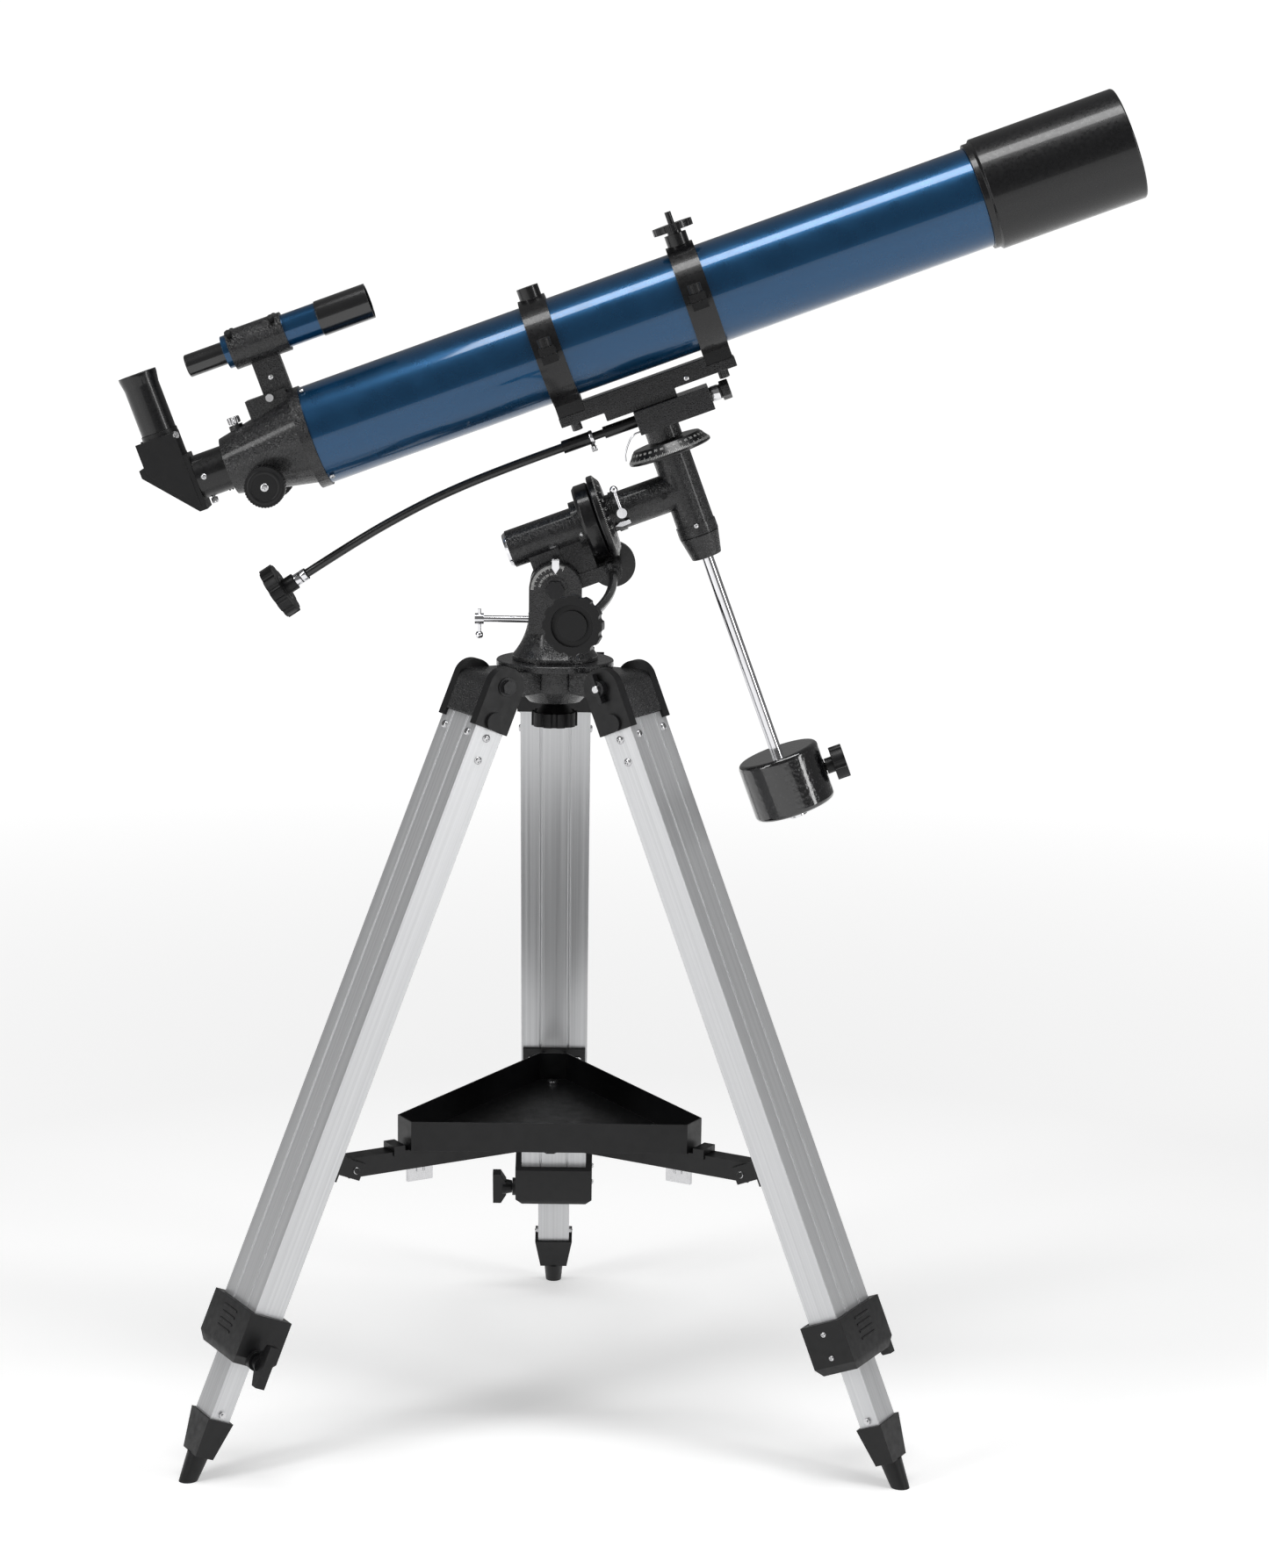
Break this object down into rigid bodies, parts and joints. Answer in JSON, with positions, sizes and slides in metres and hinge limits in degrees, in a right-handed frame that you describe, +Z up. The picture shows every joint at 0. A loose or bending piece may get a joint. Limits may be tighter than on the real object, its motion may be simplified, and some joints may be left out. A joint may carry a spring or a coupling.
{
  "type": "telescope",
  "caption": "Refracting telescope on an equatorial mount with slow-motion cables, sliding counterweight and an extending aluminium tripod with a spreader tray.",
  "frame": {"origin": "on the floor, under the middle of the telescope without its two cables", "axes": "+Z up; +X along the level direction that the tube points in; +Y away from the side with the polar slow-motion cable"},
  "size_m": [0.9992, 0.7959, 1.3499],
  "materials": {
    "hammertone": "black hammertone enamel on castings",
    "aluminium": "satin silver anodised extrusion",
    "black_plastic": "moulded plastic, satin",
    "bolt_steel": "zinc-plated steel",
    "black_sheet": "satin black powder coat",
    "chrome": "polished chrome plate",
    "gloss_black": "gloss black enamel, fine texture",
    "cable_black": "black plastic sheath over a spring core",
    "weight_iron": "speckled gloss black enamel on iron",
    "ring_black": "satin black die casting",
    "tube_blue": "deep blue metallic paint",
    "lens_glass": "coated optical glass",
    "drawtube_black": "satin black",
    "focus_knob_black": "satin grey-black plastic"
  },
  "bodies": {
    "stand": {"tripod_hub": "hammertone", "leg_left_rail": "aluminium", "leg_right_rail": "aluminium", "leg_back_rail": "aluminium", "leg_brackets": "black_plastic", "leg_collars": "black_plastic", "leg_hinge_bolts": "black_plastic", "spreader_arms": "black_sheet", "spreader_brackets": "black_sheet", "spreader_hub": "black_sheet", "accessory_tray": "black_sheet", "tray_bolts": "bolt_steel"},
    "left_leg_slide": {"leg_left_inner_tube": "aluminium", "leg_left_foot": "black_plastic"},
    "left_leg_lock": {"leg_left_lock_knob": "black_plastic"},
    "right_leg_slide": {"leg_right_inner_tube": "aluminium", "leg_right_foot": "black_plastic"},
    "right_leg_lock": {"leg_right_lock_knob": "black_plastic"},
    "back_leg_slide": {"leg_back_inner_tube": "aluminium", "leg_back_foot": "black_plastic"},
    "back_leg_lock": {"leg_back_lock_knob": "black_plastic"},
    "fixing_knob": {"mount_fixing_knob": "black_plastic"},
    "azimuth_base": {"mount_base": "hammertone", "altitude_pivot_bolt": "black_plastic"},
    "altitude_bolt": {"altitude_bolt": "chrome"},
    "polar_housing": {"ra_housing": "hammertone", "ra_gear_cover": "gloss_black", "ra_cable": "cable_black"},
    "ra_circle": {"ra_circle": "gloss_black"},
    "ra_worm": {"ra_worm": "gloss_black"},
    "ra_cable_knob": {"ra_cable_knob": "black_plastic"},
    "declination_housing": {"ra_shaft": "chrome", "dec_housing": "hammertone"},
    "ra_clamp": {"ra_clamp_lever": "chrome"},
    "dec_circle": {"dec_circle": "gloss_black"},
    "declination_shaft": {"dec_shaft": "hammertone", "dec_head": "hammertone", "saddle_bar": "hammertone", "counterweight_shaft": "chrome", "ring_rear_base": "ring_black", "ring_front_base": "ring_black", "dec_cable": "cable_black"},
    "dec_tangent_screw": {"dec_tangent_screw": "gloss_black"},
    "dec_cable_knob": {"dec_cable_knob": "black_plastic"},
    "counterweight": {"counterweight": "weight_iron"},
    "counterweight_knob": {"counterweight_knob": "black_plastic"},
    "ring_rear_cap": {"ring_rear_cap": "ring_black"},
    "ring_rear_screw": {"ring_rear_screw": "black_plastic"},
    "ring_front_cap": {"ring_front_cap": "ring_black"},
    "ring_front_screw": {"ring_front_screw": "black_plastic"},
    "optical_tube": {"main_tube": "tube_blue", "dew_shield": "gloss_black", "objective_lens": "lens_glass", "focuser_body": "hammertone", "finder_bracket": "hammertone", "finder_scope": "tube_blue"},
    "drawtube": {"drawtube": "drawtube_black"},
    "focus_pinion": {"focus_pinion": "focus_knob_black"},
    "star_diagonal": {"star_diagonal": "black_plastic"},
    "eyepiece": {"eyepiece": "black_plastic"}
  },
  "joints": [
    {"name": "left_leg_extension", "type": "slide", "parent": "stand", "child": "left_leg_slide", "axis": [-0.3398, -0.1962, -0.9198], "range_m": [-0.05, 0.38]},
    {"name": "left_leg_lock_turn", "type": "hinge", "parent": "stand", "child": "left_leg_lock", "pos_m": [-0.3716, -0.26015, 0.12786], "axis": [0.5, -0.866, 0], "continuous": true},
    {"name": "right_leg_extension", "type": "slide", "parent": "stand", "child": "right_leg_slide", "axis": [0.3398, -0.1962, -0.9198], "range_m": [-0.05, 0.38]},
    {"name": "right_leg_lock_turn", "type": "hinge", "parent": "stand", "child": "right_leg_lock", "pos_m": [0.23196, -0.26015, 0.12786], "axis": [0.5, 0.866, 0], "continuous": true},
    {"name": "back_leg_extension", "type": "slide", "parent": "stand", "child": "back_leg_slide", "axis": [0, 0.3923, -0.9198], "range_m": [-0.05, 0.38]},
    {"name": "back_leg_lock_turn", "type": "hinge", "parent": "stand", "child": "back_leg_lock", "pos_m": [-0.06982, 0.26255, 0.12786], "axis": [-1, 0, 0], "continuous": true},
    {"name": "fixing_knob_turn", "type": "hinge", "parent": "stand", "child": "fixing_knob", "pos_m": [-0.06982, -0.08592, 0.73], "axis": [0, 0, 1], "continuous": true},
    {"name": "azimuth_turn", "type": "hinge", "parent": "stand", "child": "azimuth_base", "pos_m": [-0.06982, -0.08592, 0.787], "axis": [0, 0, 1], "continuous": true},
    {"name": "altitude_bolt_turn", "type": "hinge", "parent": "azimuth_base", "child": "altitude_bolt", "pos_m": [-0.11982, -0.08592, 0.826], "axis": [1, 0, 0], "continuous": true},
    {"name": "altitude_tilt", "type": "hinge", "parent": "azimuth_base", "child": "polar_housing", "pos_m": [-0.06982, -0.08592, 0.86], "axis": [0, -1, 0], "range_deg": [-5, 40]},
    {"name": "ra_circle_turn", "type": "hinge", "parent": "polar_housing", "child": "ra_circle", "pos_m": [-0.02237, -0.08592, 0.93022], "axis": [0.9373, 0, 0.3486], "continuous": true},
    {"name": "ra_worm_turn", "type": "hinge", "parent": "polar_housing", "child": "ra_worm", "pos_m": [-0.01362, -0.08592, 0.87799], "axis": [0, -1, 0], "continuous": true},
    {"name": "ra_cable_knob_turn", "type": "hinge", "parent": "polar_housing", "child": "ra_cable_knob", "pos_m": [-0.04272, -0.42592, 0.87304], "axis": [-0.2059, -0.9785, 0.0138], "continuous": true},
    {"name": "right_ascension", "type": "hinge", "parent": "polar_housing", "child": "declination_housing", "pos_m": [0.05448, -0.08592, 0.9588], "axis": [0.9373, 0, 0.3486], "range_deg": [-90, 70]},
    {"name": "ra_clamp_turn", "type": "hinge", "parent": "declination_housing", "child": "ra_clamp", "pos_m": [-0.0055, -0.11092, 0.93649], "axis": [0, -1, 0], "range_deg": [-60, 15]},
    {"name": "dec_circle_turn", "type": "hinge", "parent": "declination_housing", "child": "dec_circle", "pos_m": [0.03949, -0.08592, 0.9991], "axis": [-0.3486, 0, 0.9373], "continuous": true},
    {"name": "declination", "type": "hinge", "parent": "declination_housing", "child": "declination_shaft", "pos_m": [0.05448, -0.08592, 0.9588], "axis": [-0.3486, 0, 0.9373], "continuous": true},
    {"name": "dec_screw_turn", "type": "hinge", "parent": "declination_shaft", "child": "dec_tangent_screw", "pos_m": [-0.02859, -0.08592, 1.01006], "axis": [-0.9373, 0, -0.3486], "continuous": true},
    {"name": "dec_cable_knob_turn", "type": "hinge", "parent": "declination_shaft", "child": "dec_cable_knob", "pos_m": [-0.31604, -0.08592, 0.86923], "axis": [-0.8325, 0, -0.5541], "continuous": true},
    {"name": "counterweight_slide", "type": "slide", "parent": "declination_shaft", "child": "counterweight", "axis": [-0.3486, 0, 0.9373], "range_m": [0, 0.19]},
    {"name": "counterweight_knob_turn", "type": "hinge", "parent": "counterweight", "child": "counterweight_knob", "pos_m": [0.20541, -0.08592, 0.68205], "axis": [0.9373, 0, 0.3486], "continuous": true},
    {"name": "ring_rear_open", "type": "hinge", "parent": "declination_shaft", "child": "ring_rear_cap", "pos_m": [-0.07788, -0.02492, 1.09095], "axis": [-0.9373, 0, -0.3486], "range_deg": [0, 100]},
    {"name": "ring_rear_screw_turn", "type": "hinge", "parent": "ring_rear_cap", "child": "ring_rear_screw", "pos_m": [-0.07963, -0.14892, 1.09564], "axis": [-0.3486, 0, 0.9373], "continuous": true},
    {"name": "ring_front_open", "type": "hinge", "parent": "declination_shaft", "child": "ring_front_cap", "pos_m": [0.06552, -0.02492, 1.14428], "axis": [-0.9373, 0, -0.3486], "range_deg": [0, 100]},
    {"name": "ring_front_screw_turn", "type": "hinge", "parent": "ring_front_cap", "child": "ring_front_screw", "pos_m": [0.06378, -0.14892, 1.14897], "axis": [-0.3486, 0, 0.9373], "continuous": true},
    {"name": "tube_roll", "type": "hinge", "parent": "declination_shaft", "child": "optical_tube", "pos_m": [-0.00477, -0.08592, 1.11814], "axis": [0.9373, 0, 0.3486], "range_deg": [-80, 80]},
    {"name": "focus_slide", "type": "slide", "parent": "optical_tube", "child": "drawtube", "axis": [-0.9373, 0, -0.3486], "range_m": [-0.02, 0.055]},
    {"name": "focus_pinion_turn", "type": "hinge", "parent": "optical_tube", "child": "focus_pinion", "pos_m": [-0.35212, -0.08592, 0.95909], "axis": [0, -1, 0], "range_deg": [-200, 540]},
    {"name": "diagonal_turn", "type": "hinge", "parent": "drawtube", "child": "star_diagonal", "pos_m": [-0.42187, -0.08592, 0.96302], "axis": [0.9373, 0, 0.3486], "range_deg": [-90, 90]},
    {"name": "eyepiece_slide", "type": "slide", "parent": "star_diagonal", "child": "eyepiece", "axis": [-0.3486, 0, 0.9373], "range_m": [0, 0.03]}
  ],
  "couplings": [
    {"joint": "focus_pinion_turn", "follows": "focus_slide", "rad_per_m": 166.67},
    {"joint": "ra_cable_knob_turn", "follows": "ra_worm_turn", "ratio": 1},
    {"joint": "dec_cable_knob_turn", "follows": "dec_screw_turn", "ratio": 1}
  ]
}
